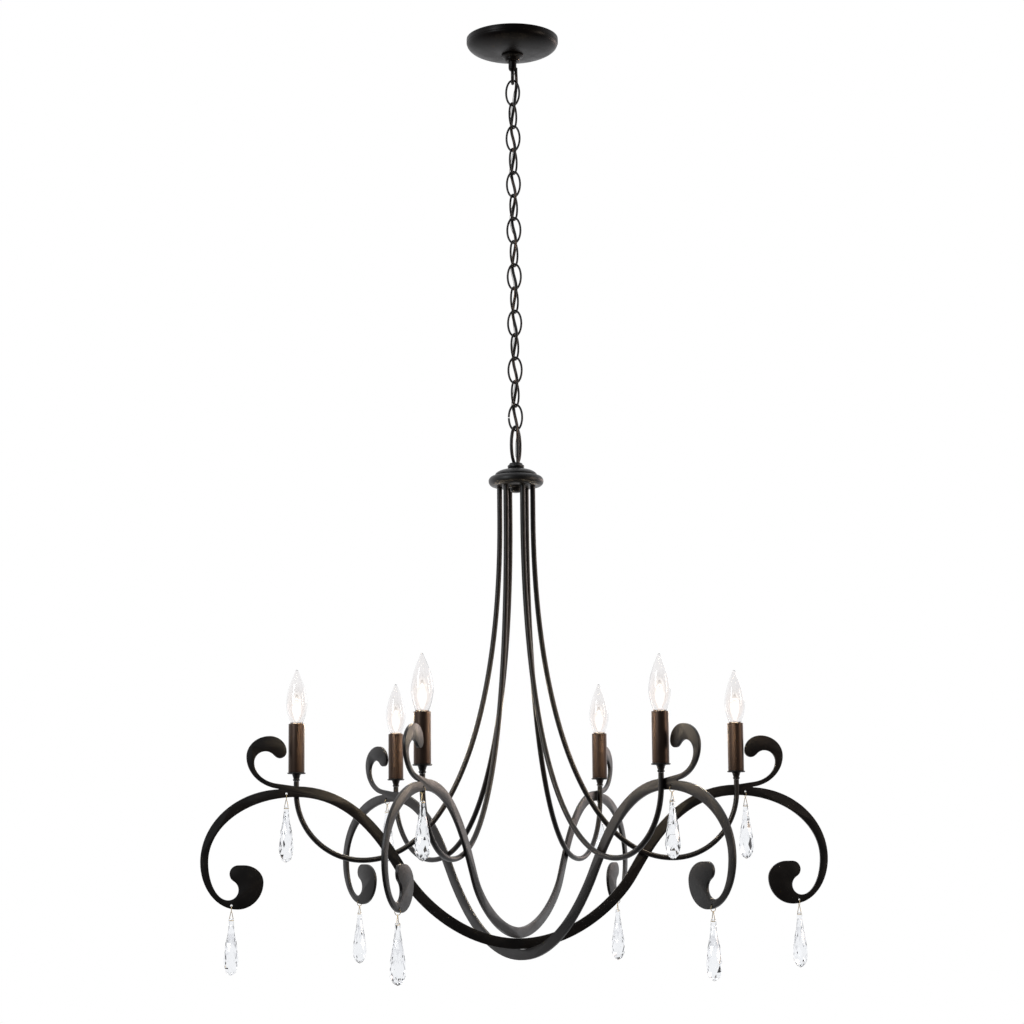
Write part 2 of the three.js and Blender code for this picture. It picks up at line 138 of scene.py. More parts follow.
class PlateSizes(PropertyGroup):
    """The scroll plates, drawn outwards from the axis and up from the scrolls' middle"""
    level: length("Level", -1244.4, "Height of the scrolls' middle below the ceiling")
    thickness: length("Thickness", 4.6, "Plate thickness")
    reach: length("Reach", 461, "Axis to the outermost point")
    band: length("Band", 11.5, "Width of the scrolls' band")
    rise: length("Rise", 103, "Height of the big arch")
    drop: length("Drop", 68, "Depth of the lower scroll")
    swoop: length("Swoop", 15.5, "Width of the plate's middle part")
    bottom: length("Bottom", -121, "Middle part's centreline at the axis, middle plate")
    edge: length("Edge", 0.35, "Width of the broken edges")
    hole: length("Ring hole", 1.6, "Radius of the crystals' ring holes")


class CandleSizes(PropertyGroup):
    """Arms, cups, sleeves and lamps"""
    arm: length("Arm", 3.9, "Radius of the arm tube")
    flange: length("Flange", 13.4, "Radius of the cup's flange")
    flange_height: length("Flange height", 2, "Thickness of the flange")
    knuckle: length("Knuckle", 6.5, "Radius of the knuckle under the flange")
    knuckle_height: length("Knuckle height", 10, "Height of the knuckle")
    sleeve: length("Sleeve", 11.7, "Radius of the candle sleeve")
    sleeve_wall: length("Sleeve wall", 0.9, "Sleeve thickness")
    holder: length("Holder", 9.6, "Radius of the lamp-holder in the sleeve")
    holder_bore: length("Holder bore", 6.6, "Radius of its socket")
    lamp: length("Lamp", 15.4, "Widest radius of the lamp")
    lamp_neck: length("Lamp neck", 6.1, "Radius of the lamp's screw base")
    lamp_base: length("Lamp base", 20, "Depth of the base in the sleeve")
    lamp_power: FloatProperty(name="Lamp power", description="Light of each lamp, in watts", default=0.9)


class CrystalSizes(PropertyGroup):
    """Cut drops and the wires that hang them"""
    height: length("Height", 79.6, "Length of a drop")
    radius: length("Radius", 10.8, "Widest radius of a drop")
    hang: length("Hang", 18.5, "From the plate's hole down to the drop")
    ring: length("Ring", 4.2, "Radius of the wire ring")
    wire: length("Wire", 0.48, "Radius of the hanging wires")
    sides: IntProperty(name="Sides", description="Facets round a drop", default=8, min=5)


class Finishes(PropertyGroup):
    """Colours of the finishes"""
    black: colour("Satin black", (0.0022, 0.0021, 0.0023), "Lacquer on the ironwork")
    umber: colour("Umber", (0.0075, 0.0042, 0.0032), "Brown that shows through the lacquer")
    bronze: colour("Bronze", (0.082, 0.055, 0.042), "Lacquer on the candle sleeves")
    gold: colour("Gold wire", (0.76, 0.61, 0.38), "Wires that hang the crystals")
    crystal: colour("Crystal", (0.945, 0.96, 0.985), "Cut glass")
    glow: colour("Lamp glow", (1.0, 0.80, 0.56), "Light of the filaments")


SETTINGS = {"canopy": CanopySizes, "chain": ChainSizes, "hub": HubSizes, "plate": PlateSizes,
            "candle": CandleSizes, "drop": CrystalSizes, "finish": Finishes}


def settings(group):
    """The sizes or colours that the user set for a group of pieces."""
    return getattr(bpy.context.scene, "chandelier_" + group)


# --- helpers
def spot(name):
    """A joint's pivot."""
    return Vector(joints[name]["pos_m"])


def bearing(turn, distance=1.0, z=0.0):
    """A point at an angle from X, a distance from the axis and a height."""
    return Vector((distance * math.cos(turn), distance * math.sin(turn), z))


def middle(node):
    """The middle of a node's box."""
    low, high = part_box(node)
    return (low + high) / 2


def bend(start, corner, end, steps):
    """Points that round a corner off."""
    return [start * (1 - t) ** 2 + corner * 2 * t * (1 - t) + end * t * t
            for t in (k / steps for k in range(steps + 1))]


def rounded(corners, steps=4):
    """A profile of (radius, height, rounding) corners, each rounded by its last number."""
    points = []
    for i, corner in enumerate(corners):
        here = Vector(corner[:2])
        rounding = corner[2] if len(corner) > 2 else 0
        if not rounding or i in (0, len(corners) - 1):
            points.append(here)
            continue
        back, ahead = Vector(corners[i - 1][:2]) - here, Vector(corners[i + 1][:2]) - here
        reach = min(rounding, back.length * 0.48, ahead.length * 0.48)
        points += bend(here + back.normalized() * reach, here, here + ahead.normalized() * reach, steps)
    return points


def ellipse(u, w, a, b, start, end, steps):
    """Points on an ellipse, with angles in degrees."""
    angles = [math.radians(start + (end - start) * k / steps) for k in range(steps + 1)]
    return [Vector((u + a * math.cos(t), w + b * math.sin(t))) for t in angles]


def turned(profile, sides=64, closed=False):
    """A shape turned about Z from profile points of (radius, height)."""
    bm = bmesh.new()
    verts = [bm.verts.new((point[0], 0, point[1])) for point in profile]
    edges = [bm.edges.new(pair) for pair in zip(verts, verts[1:])]
    if closed:
        edges.append(bm.edges.new((verts[-1], verts[0])))
    bmesh.ops.spin(bm, geom=verts + edges, cent=(0, 0, 0), axis=(0, 0, 1), dvec=(0, 0, 0),
                   angle=math.tau, steps=sides, use_merge=True)
    return bm


def frames_along(path, closed=False):
    """A section's turn at each point of a path, carried along without twist."""
    turns = []
    last = len(path) - 1
    for i in range(len(path)):
        before = path[i - 1] if closed or i else path[0]
        after = path[(i + 1) % len(path)] if closed or i < last else path[last]
        along = (after - before).normalized()
        if turns:
            step = (turns[-1] @ Vector((0, 0, 1))).rotation_difference(along)
            turns.append(step.to_matrix() @ turns[-1])
        else:
            turns.append(along.to_track_quat("Z", "Y").to_matrix())
    return turns


def swept(bm, path, radius, sides=12, closed=False, turns=None):
    """A round bar along a path, with its ends capped or joined."""
    turns = turns or frames_along(path, closed)
    place = [Matrix.Translation(p) @ t.to_4x4() for p, t in zip(path, turns)]
    ring = bmesh.ops.create_circle(bm, cap_ends=False, radius=radius, segments=sides,
                                   matrix=place[0])["verts"]
    first = edges = list({edge for vert in ring for edge in vert.link_edges})
    if not closed:
        bmesh.ops.contextual_create(bm, geom=first)
    for before, after in zip(place, place[1:]):
        grown = bmesh.ops.extrude_edge_only(bm, edges=edges)["geom"]
        ring = [item for item in grown if isinstance(item, bmesh.types.BMVert)]
        edges = [item for item in grown if isinstance(item, bmesh.types.BMEdge)]
        bmesh.ops.transform(bm, matrix=after @ before.inverted(), verts=ring)
    if closed:
        bmesh.ops.bridge_loops(bm, edges=first + edges)
    else:
        bmesh.ops.contextual_create(bm, geom=edges)
    return bm


def oval(centre, across, width, height, wire, points, start=0.0, share=1.0):
    """A ring's centreline in the upright plane along across, from an angle and round."""
    a, b = width / 2 - wire, height / 2 - wire
    count = points if share == 1.0 else points + 1
    path = []
    for k in range(count):
        t = start + math.tau * share * k / points
        path.append(centre + across * (a * math.cos(t)) + Vector((0, 0, b * math.sin(t))))
    return path


def mesh_of(bm, name):
    mesh = bpy.data.meshes.new(name)
    bm.to_mesh(mesh)
    bm.free()
    return mesh


def placed(name, data):
    """An object in the scene for a mesh, a light or a camera."""
    obj = bpy.data.objects.new(name, data)
    bpy.context.scene.collection.objects.link(obj)
    return obj


def piece(bm, name, look, body, stands_for=(), place=(0, 0, 0), turn=0.0, crease=32):
    """Makes an object of a mesh, puts its place in the mesh and hangs it on its body."""
    bmesh.ops.remove_doubles(bm, verts=bm.verts[:], dist=1e-7)
    bmesh.ops.recalc_face_normals(bm, faces=bm.faces[:])
    at = Matrix.Translation(place) @ Matrix.Rotation(turn, 4, "Z")
    bmesh.ops.transform(bm, matrix=at, verts=bm.verts[:])
    mesh = mesh_of(bm, name)
    mesh.polygons.foreach_set("use_smooth", [True] * len(mesh.polygons))
    mesh.set_sharp_from_angle(angle=math.radians(crease))
    mesh.materials.append(finish(look))
    obj = placed(name, mesh)
    if body:
        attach(obj, body)
    if stands_for:
        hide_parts(*stands_for)
    return obj


# --- materials
class Tree:
    """A node tree, and short ways to add to it."""

    def __init__(self, owner):
        owner.use_nodes = True
        self.nodes, self.links = owner.node_tree.nodes, owner.node_tree.links

    def add(self, kind, **sources):
        """A new node, with sockets linked to its named inputs."""
        node = self.nodes.new("ShaderNode" + kind)
        for name, source in sources.items():
            self.links.new(source, node.inputs[name])
        return node

    def ramp(self, source, stops):
        node = self.add("ValToRGB", Fac=source)
        elements = node.color_ramp.elements
        while len(elements) < len(stops):
            elements.new(0.5)
        for element, (position, value) in zip(elements, stops):
            element.position = position
            element.color = (*value, 1) if hasattr(value, "__len__") else (value,) * 3 + (1,)
        return node.outputs["Color"]


class Surface(Tree):
    """A node material with its shader, and short ways to add pattern nodes."""

    def __init__(self, name):
        self.material = bpy.data.materials.new(name)
        super().__init__(self.material)
        self.shader = self.nodes["Principled BSDF"]
        self.place = self.add("TexCoord").outputs["Object"]

    def set(self, **values):
        for key, value in values.items():
            self.shader.inputs[key.replace("_", " ")].default_value = value
        return self

    def noise(self, scale, detail=3.0, stretch=None):
        source = self.place
        if stretch:
            mapping = self.add("Mapping", Vector=source)
            mapping.inputs["Scale"].default_value = stretch
            source = mapping.outputs["Vector"]
        node = self.add("TexNoise", Vector=source)
        node.inputs["Scale"].default_value = scale
        node.inputs["Detail"].default_value = detail
        return node.outputs["Fac"]

    def drive(self, socket, source):
        self.links.new(source, self.shader.inputs[socket])
        return self

    def bump(self, source, strength, distance):
        node = self.add("Bump", Height=source)
        node.inputs["Strength"].default_value = strength
        node.inputs["Distance"].default_value = distance
        return self.drive("Normal", node.outputs["Normal"])


def lacquer(name, base, second, rough, metal=0.0, gloss=0.5):
    """Satin lacquer on steel: cloudy colour, uneven gloss and a fine orange peel."""
    made = Surface(name).set(Metallic=metal, Specular_IOR_Level=gloss)
    made.drive("Base Color", made.ramp(made.noise(14, 4), [(0.38, base), (0.72, second)]))
    uneven = made.ramp(made.noise(60, 5), [(0.3, rough - 0.05), (0.7, rough + 0.07)])
    made.drive("Roughness", uneven)
    return made.bump(made.noise(1600, 2), 0.10, 0.0004).material


def brushed(name, base, rough, scale):
    """Bare metal with fine drawn lines."""
    made = Surface(name).set(Metallic=1.0)
    lines = made.noise(scale, 3, (1, 14, 1))
    made.drive("Base Color", made.ramp(lines, [(0.3, [c * 0.8 for c in base]), (0.7, base)]))
    made.drive("Roughness", made.ramp(lines, [(0.3, rough - 0.06), (0.7, rough + 0.08)]))
    return made.bump(lines, 0.15, 0.0003).material


def clear(name, tint, index):
    """Polished clear glass with the faintest cloud in its tint."""
    made = Surface(name).set(Transmission_Weight=1.0, IOR=index, Roughness=0.0)
    cloud = made.ramp(made.noise(40, 2), [(0.3, [c * 0.96 for c in tint]), (0.7, tint)])
    return made.drive("Base Color", cloud).material


def glow(name, tint, strength, alpha):
    """Thin warm light that fades out towards the top of the lamp."""
    made = Surface(name).set(Roughness=1.0, Specular_IOR_Level=0.0, Emission_Strength=strength)
    made.set(Base_Color=(0, 0, 0, 1))
    fade = made.add("Attribute")
    fade.attribute_name = "warmth"
    warmth = fade.outputs["Fac"]
    made.drive("Emission Color", made.ramp(warmth, [(0.0, [c * 0.9 for c in tint]), (0.8, tint)]))
    return made.drive("Alpha", made.ramp(warmth, [(0.0, 0.0), (1.0, alpha)])).material


def make_materials():
    """All the finishes, by name."""
    chosen = settings("finish")
    black, umber, bronze = tuple(chosen.black), tuple(chosen.umber), tuple(chosen.bronze)
    rubbed = [c * 0.80 for c in bronze]
    jacket = Surface("cord_jacket").set(Roughness=0.42)
    cloud = jacket.ramp(jacket.noise(220, 3), [(0.3, (0.004,) * 3), (0.7, (0.009,) * 3)])
    jacket.drive("Base Color", cloud)
    jacket.bump(jacket.noise(2400, 2), 0.2, 0.0003)
    hot = Surface("filament").set(Emission_Strength=12.0, Base_Color=(1, 0.8, 0.5, 1))
    heat = hot.ramp(hot.noise(900, 1), [(0.2, tuple(chosen.glow)), (0.8, (1, 0.9, 0.74))])
    hot.drive("Emission Color", heat)
    holder = Surface("lamp_holder").set(Roughness=0.5)
    fired = holder.ramp(holder.noise(90, 3), [(0.3, (0.55, 0.53, 0.48)), (0.7, (0.64, 0.62, 0.57))])
    holder.drive("Base Color", fired)
    return {
        "black": lacquer("satin_black", black, umber, 0.40),
        "canopy": lacquer("canopy_black", black, umber, 0.36, gloss=0.15),
        "link": lacquer("chain_black", black, umber, 0.32),
        "bronze": lacquer("sleeve_bronze", bronze, rubbed, 0.40, metal=0.85),
        "zinc": brushed("zinc_steel", (0.62, 0.63, 0.64), 0.36, 260),
        "brass": brushed("lamp_cap", (0.80, 0.78, 0.72), 0.26, 500),
        "ground": lacquer("ground_wire", (0.16, 0.10, 0.075), (0.24, 0.16, 0.12), 0.25, metal=0.6),
        "gold": brushed("gold_wire", tuple(chosen.gold), 0.20, 700),
        "crystal": clear("cut_crystal", tuple(chosen.crystal), 1.58),
        "glass": clear("lamp_glass", (0.962, 0.953, 0.952), 1.45),
        "glow": glow("lamp_glow", (1.0, 0.93, 0.89), 1.0, 0.27),
        "heart": glow("lamp_heart", (1.0, 0.94, 0.87), 2.2, 0.50),
        "hot": hot.material,
        "ceramic": holder.material,
        "jacket": jacket.material,
    }


FINISHES = {}


def finish(name):
    """A finish by name; they are all made when the first is asked for."""
    if not FINISHES:
        FINISHES.update(make_materials())
    return FINISHES[name]


# --- canopy
def canopy_bowl():
    """The bowl's wall as a closed profile, with a crisp line under the rim."""
    size = settings("canopy")
    low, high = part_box("canopy")
    radius, depth = high.x, -low.z
    bore = size.nipple + GAP
    outer = radius - size.step
    inner = radius - size.wall
    shell = [(bore, -depth), (size.flat * 0.8, -depth)]
    shell += ellipse(size.flat, -size.rim, outer - size.flat, depth - size.rim, -90, -3, 26)
    shell += rounded([
        (outer, -size.rim - 0.0004), (outer + size.step * 0.2, -size.rim, 0.0002),
        (radius, -size.rim + 0.0003, 0.0004), (radius, 0, 0.0007), (inner, 0, 0.0002),
        (inner, -size.rim)])
    shell += ellipse(size.flat, -size.rim, inner - size.flat, depth - size.wall - size.rim, 0, -90, 20)[1:]
    shell.append((bore, -depth + size.wall))
    return turned(shell, 96, closed=True)


def canopy_collar():
    """The collar that holds the canopy up, its stem and the threaded nipple."""
    size = settings("canopy")
    low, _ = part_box("canopy")
    top = low.z - GAP
    under = top - size.collar_height
    foot = under - size.stem_length
    nipple = size.nipple
    pitch, depth, plain_end = 0.0013, 0.0004, 0.001
    profile = rounded([
        (0, foot), (size.stem * 0.62, foot, 0.001), (size.stem, foot + 0.003, 0.002),
        (size.stem, under + 0.001, 0.0006), (size.stem * 1.25, under, 0.0004),
        (size.collar * 0.62, under, 0.0008), (size.collar * 0.70, under + 0.0022, 0.0008),
        (size.collar * 0.74, top - 0.0046, 0.0008), (size.collar * 0.93, top - 0.0030, 0.0008),
        (size.collar, top - 0.0022, 0.0007), (size.collar, top, 0.0005), (nipple, top)])
    for k in range(int((-plain_end - top) / pitch)):
        z = top + k * pitch
        profile += [(nipple, z + pitch * 0.15), (nipple - depth, z + pitch * 0.6)]
    return turned(profile + [(nipple - 0.0003, 0), (0, 0)], 64)


class CHANDELIER_OT_canopy(Operator):
    """Canopy, collar and loop at the ceiling"""
    bl_idname = "chandelier.canopy"
    bl_label = "Canopy"

    def execute(self, context):
        size, chain = settings("canopy"), settings("chain")
        body = "ceiling_mount"
        piece(canopy_bowl(), "canopy_bowl", "canopy", body, ["canopy"])
        piece(canopy_collar(), "canopy_collar", "canopy", body, ["canopy_loop"])
        across = Vector(joints["link_01_swing"]["axis"])
        centre = Vector((0, 0, spot("link_01_swing").z + size.loop_height / 2 - chain.loop_wire))
        path = oval(centre, across, size.loop_width, size.loop_height, chain.loop_wire, 48)
        ring = swept(bmesh.new(), path, chain.loop_wire, 16, closed=True)
        piece(ring, "canopy_ring", "link", body)
        strap = frame["nodes"]["mounting_strap"]
        strap.data.materials.clear()
        strap.data.materials.append(finish("zinc"))
        return {"FINISHED"}


# --- chain
def link_body(number):
    """The body of link 1, 2 and on, of the ceiling for 0 and of the fixture past the last."""
    if number < 1:
        return "ceiling_mount"
    return f"chain_link_{number:02d}" if number <= link_count else "fixture"


def link_joint(number):
    """The joint that hangs link 1, 2 and on, or the fixture past the last."""
    return f"link_{number:02d}_swing" if number <= link_count else "fixture_swing"


class CHANDELIER_OT_chain(Operator):
    """Oval chain links, the last with the gap where it opens"""
    bl_idname = "chandelier.chain"
    bl_label = "Chain"

    def execute(self, context):
        size = settings("chain")
        for number in range(1, link_count + 1):
            node = f"chain_link_{number:02d}"
            across = Vector(joints[link_joint(number + 1)]["axis"])
            start, share, split = 0.0, 1.0, number == link_count
            if split:
                share -= size.split / (math.pi * (size.link_width + size.link_length) / 2)
                start = math.pi * (2 - share)
            path = oval(middle(node), across, size.link_width, size.link_length, size.link_wire,
                        56, start, share)
            bm = swept(bmesh.new(), path, size.link_wire, 16, closed=not split)
            piece(bm, f"link_{number:02d}", "link", link_body(number), [node])
        return {"FINISHED"}


# --- cord
def between(a, b, start, end, at):
    """The point between a, passed at start, and b, passed at end."""
    return a + (b - a) * ((at - start) / (end - start))


def smooth_path(points, steps):
    """A centripetal curve through points, as a list of closer points."""
    ends = [points[0] * 2 - points[1], *points, points[-1] * 2 - points[-2]]
    path = []
    for i in range(1, len(ends) - 2):
        p, t = ends[i - 1:i + 3], [0.0]
        for a, b in zip(p, p[1:]):
            t.append(t[-1] + math.sqrt((b - a).length))
        for k in range(steps):
            at = t[1] + (t[2] - t[1]) * k / steps
            first = [between(p[j], p[j + 1], t[j], t[j + 1], at) for j in range(3)]
            second = [between(first[j], first[j + 1], t[j], t[j + 2], at) for j in range(2)]
            path.append(between(*second, t[1], t[2], at))
    path.append(points[-1])
    return path


def cord_route():
    """The cord's points: through each link, from one side of the axis to the other."""
    size, canopy = settings("chain"), settings("canopy")
    planes = [Vector(joints[link_joint(n)]["axis"]) for n in (1, 2, 3)]
    loop, odd, even = (math.atan2(axis.y, axis.x) for axis in planes)
    side = (odd + even) / 2 - math.pi / 2
    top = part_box("canopy")[0].z - GAP - canopy.collar_height - canopy.stem_length
    pitch = spot("link_02_swing").z - spot("link_03_swing").z
    first = middle("chain_link_01").z
    clear = size.loop_wire + size.cord + 2 * GAP
    start = loop - math.pi / 2
    points = [bearing(start, clear, top + size.entry), bearing(start, clear, top - 0.002),
              bearing((loop + odd) / 2, size.swing + 0.001, first + pitch / 2)]
    for n in range(1, link_count + 1):
        sign = -1 if n % 2 == 0 else 1
        points.append(bearing(side, sign * size.swing, first + pitch / 2 - n * pitch))
    end = hub_levels()["collar_top"]
    for height in (0.016, 0.004, -size.entry):
        points.append(bearing(side, size.swing, end + height))
    return points


def cord_pieces(name, path, radius, sides, look, stands_for=()):
    """A tube in one piece for each joint that it crosses, split at the links' middles."""
    turns = frames_along(path)
    cuts = [0]
    for n in range(1, link_count + 1):
        level = middle(f"chain_link_{n:02d}").z
        cuts.append(min(range(len(path)), key=lambda i: abs(path[i].z - level)))
    cuts.append(len(path) - 1)
    for n, (start, end) in enumerate(zip(cuts, cuts[1:])):
        part = slice(start, end + 1)
        bm = swept(bmesh.new(), path[part], radius, sides, turns=turns[part])
        made = piece(bm, f"{name}_{n + 1:02d}", look, None, stands_for if n == 0 else ())
        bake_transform(made)


class CHANDELIER_OT_cord(Operator):
    """Supply cord and bare ground wire, woven through the chain"""
    bl_idname = "chandelier.cord"
    bl_label = "Cord"

    def execute(self, context):
        size = settings("chain")
        path = smooth_path(cord_route(), 12)
        cord_pieces("supply_cord_run", path, size.cord, 16, "jacket", ["supply_cord"])
        beside = size.cord + size.ground + 2 * GAP
        wire = []
        for i, (point, turn) in enumerate(zip(path, frames_along(path))):
            drift = 2.2 + 0.9 * math.sin(i * 0.21)
            wire.append(point + turn @ bearing(drift, beside))
        cord_pieces("ground_wire", wire[10:-6], size.ground, 8, "ground")
        return {"FINISHED"}


# --- hub
def hub_levels():
    """Heights of the hub's parts, from the boxes of its nodes."""
    size, chain = settings("hub"), settings("chain")
    loop_low, loop_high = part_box("hub_loop")
    body_low, body_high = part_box("hub_body")
    collar_top = loop_high.z - size.loop_height + 2 * chain.loop_wire
    under = body_high.z - size.disc_height - size.body_height
    return {"loop_top": loop_high.z, "collar_top": collar_top, "collar_low": loop_low.z,
            "top": body_high.z, "under": under, "nut": body_low.z}


class CHANDELIER_OT_hub(Operator):
    """Tall loop, its collar and the turned hub"""
    bl_idname = "chandelier.hub"
    bl_label = "Hub"

    def execute(self, context):
        size, chain = settings("hub"), settings("chain")
        level = hub_levels()
        centre = Vector((0, 0, level["loop_top"] - size.loop_height / 2))
        path = oval(centre, bearing(size.loop_turn), size.loop_width, size.loop_height, chain.loop_wire, 72)
        ring = swept(bmesh.new(), path, chain.loop_wire, 16, closed=True)
        piece(ring, "hub_ring", "link", "fixture", ["hub_loop"])
        piece(self.collar(size, level), "hub_collar", "black", "fixture")
        piece(self.cover(size, level), "hub_cover", "black", "fixture", ["hub_body"])
        piece(self.nut(size, level), "hub_nut", "black", "fixture")
        return {"FINISHED"}

    def collar(self, size, level):
        low, top, radius = level["collar_low"], level["collar_top"], size.collar
        return turned(rounded([
            (0, low), (radius * 0.9, low, 0.0005), (radius, low + 0.0018, 0.0012),
            (radius, low + 0.0045, 0.0012), (radius * 0.82, low + 0.0056, 0.0006),
            (radius * 0.80, top - 0.0012, 0.0010), (radius * 0.66, top, 0.0012), (0, top)]), 56)

    def cover(self, size, level):
        top, under, disc = level["top"], level["under"], size.disc
        disc_low = top - size.disc_height
        bead = size.body_height / 2
        ring = size.body - bead
        profile = rounded([
            (0, top), (size.collar, top, 0.001), (disc * 0.55, top - 0.0012, 0.004),
            (disc * 0.78, top - 0.0032, 0.006), (disc * 0.95, top - 0.0066, 0.003),
            (disc, top - 0.0092, 0.0008), (disc * 0.965, disc_low + 0.0004, 0.0004),
            (ring + 0.001, disc_low)], 5)
        profile += ellipse(ring, under + bead, bead, bead, 88, -90, 30)
        profile += rounded([(ring - 0.002, under), (size.nut + 0.004, under, 0.0006), (0, under)])
        return turned(profile, 96)

    def nut(self, size, level):
        top, low = level["under"] - GAP / 2, level["nut"]
        return turned(rounded([
            (0, top), (size.nut + 0.002, top, 0.0004), (size.nut + 0.002, top - 0.0012, 0.0006),
            (size.nut, top - 0.0020, 0.0004), (size.nut, low + 0.0022, 0.001),
            (size.nut * 0.62, low, 0.0012), (0, low)]), 48)


# --- plates
def swoop_edges(size, bottom):
    """Lower and upper edge of a plate's middle part, from the axis outwards."""
    knee, slope = Vector((0.1613, -0.0312)), Vector((0.0214, 0.0314))
    top = Vector((0.325, size.rise - size.band + size.swoop / 2))
    flat = 0.0798 - (bottom - size.bottom) * 0.4
    spans = [(Vector((0, bottom)), Vector((flat, bottom)), knee - slope, knee),
             (knee, knee + slope, top - Vector((0.098, 0)), top)]
    line = []
    for span in spans:
        points = interpolate_bezier(*(p.to_3d() for p in span), 26)
        line += [p.to_2d() for p in points[1 if line else 0:]]
    lower, upper = [], []
    for i, point in enumerate(line):
        along = (line[min(i + 1, len(line) - 1)] - line[max(i - 1, 0)]).normalized()
        if i in (0, len(line) - 1):
            along = Vector((1, 0))
        side = Vector((-along.y, along.x)) * size.swoop / 2
        lower.append(point - side)
        upper.append(point + side)
    return lower, upper


def half_outline(size, bottom):
    """Half of a plate's outline: out along its lower edge, round both scrolls and back."""
    lower, upper = swoop_edges(size, bottom)
    outline = lower[:-1]
    inner = size.reach - size.band
    notch, notch_radius = Vector((0.4205, -0.0403)), 0.0144
    nose = Vector((0.4069, -0.0174))
    nose_radius = (notch - nose).length - notch_radius
    lean = math.degrees(math.atan2(nose.y - notch.y, nose.x - notch.x))
    start = lower[-1].x
    outline += ellipse(start, 0, inner - start, size.rise - size.band, 90, 0, 30)
    outline += ellipse(notch.x, 0, inner - notch.x, notch_radius - notch.y, 0, -90, 14)
    outline += ellipse(*notch, notch_radius, notch_radius, 270, lean, 14)
    outline += ellipse(*nose, nose_radius, nose_radius, lean - 180, 90, 12)

    end_reach, end_level, end_top, under = 0.3705, -0.030, 0.399, 0.407
    outline += ellipse(end_top, end_level, end_top - end_reach, nose.y + nose_radius - end_level,
                       90, 180, 12)
    outline += ellipse(under, end_level, under - end_reach, size.drop + end_level, 180, 270, 14)
    outline += ellipse(under, 0, size.reach - under, size.drop, 270, 360, 16)
    outline += ellipse(0.344, 0, size.reach - 0.344, size.rise, 0, 87, 30)

    back, foot, crown, head = 0.3964, 0.342, 0.363, 0.3385
    waist, top = size.rise + 0.047, size.rise + 0.0765
    outline += ellipse(foot, waist, back - foot, waist - size.rise, 278, 360, 18)
    outline += ellipse(crown, waist, back - crown, top - waist, 0, 90, 14)
    head_level, head_radius = top - 0.0225, 0.0096
    outline += ellipse(crown, head_level, crown - head, top - head_level, 90, 180, 12)
    hollow, hollow_radius = Vector((0.369, size.rise + 0.0385)), 0.016
    turn = math.degrees(math.atan2(hollow.y - head_level, hollow.x - head - head_radius))
    outline += ellipse(head + head_radius, head_level, head_radius, head_radius, 180, 360 + turn, 16)
    outline += ellipse(*hollow, hollow_radius, hollow_radius, 180 + turn, 0, 16)
    outline += ellipse(0.345, hollow.y, hollow.x + hollow_radius - 0.345, 0.031, 0, -82, 16)
    outline += list(reversed(upper))
    return [p for i, p in enumerate(outline) if i == 0 or (p - outline[i - 1]).length > 5e-5]


def plate_solid(size, bottom):
    """A whole plate standing in the XZ plane, cut from sheet, with its edges broken."""
    right = half_outline(size, bottom)
    left = [Vector((-p.x, p.y)) for p in reversed(right[1:-1])]
    bm = bmesh.new()
    half = size.thickness / 2
    verts = [bm.verts.new((p.x, -half, p.y)) for p in right + left]
    face = bm.faces.new(verts)
    grown = bmesh.ops.extrude_face_region(bm, geom=[face])["geom"]
    far = [item for item in grown if isinstance(item, bmesh.types.BMVert)]
    bmesh.ops.translate(bm, verts=far, vec=(0, size.thickness, 0))
    bmesh.ops.recalc_face_normals(bm, faces=bm.faces[:])
    rims = [edge for edge in bm.edges if abs(edge.verts[0].co.y - edge.verts[1].co.y) < 1e-6]
    bmesh.ops.bevel(bm, geom=rims, offset=size.edge, segments=2, profile=0.5, affect="EDGES",
                    material=-1)
    return bm


def drill(obj, holes, radius, thickness):
    """Cuts round holes through a plate along Y, at (x, z) places."""
    bm = bmesh.new()
    for x, z in holes:
        at = Matrix.Translation((x, 0, z)) @ Matrix.Rotation(math.pi / 2, 4, "X")
        bmesh.ops.create_cone(bm, cap_ends=True, segments=24, radius1=radius, radius2=radius,
                              depth=thickness * 2, matrix=at)
    cutter = placed("drill", mesh_of(bm, "drill"))
    cut = obj.modifiers.new("holes", "BOOLEAN")
    cut.object, cut.operation, cut.solver = cutter, "DIFFERENCE", "EXACT"
    bpy.context.view_layer.update()
    evaluated = obj.evaluated_get(bpy.context.evaluated_depsgraph_get())
    drilled = bpy.data.meshes.new_from_object(evaluated)
    obj.modifiers.clear()
    obj.data = drilled
    bpy.data.objects.remove(cutter)


class CHANDELIER_OT_plates(Operator):
    """Three scroll plates that cross under the hub"""
    bl_idname = "chandelier.plates"
    bl_label = "Scroll plates"

    def execute(self, context):
        size = settings("plate")
        stack = size.swoop + GAP
        for name, turns, level, arm in (("upper", 1, 1, 2), ("middle", 0, 0, 1), ("lower", -1, -1, 6)):
            bottom = size.bottom + level * stack
            made = piece(plate_solid(size, bottom), f"scroll_{name}", "black", None)
            holes = []
            for row in ("upper", "lower"):
                pivot = spot(f"crystal_{row}_{arm}_swing")
                holes += [(side * pivot.to_2d().length, pivot.z - size.level) for side in (-1, 1)]
            drill(made, holes, size.hole, size.thickness)
            turn = Matrix.Rotation(turns * math.pi / 3, 4, "Z")
            made.data.transform(Matrix.Translation((0, 0, size.level)) @ turn)
            made.data.set_sharp_from_angle(angle=math.radians(32))
            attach(made, "fixture")
            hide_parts(f"scroll_plate_{name}")
        return {"FINISHED"}


# --- arms
def arm_turn(number):
    """The bearing of arm 1, 2 and on."""
    return (number - 1) * math.tau / arm_count


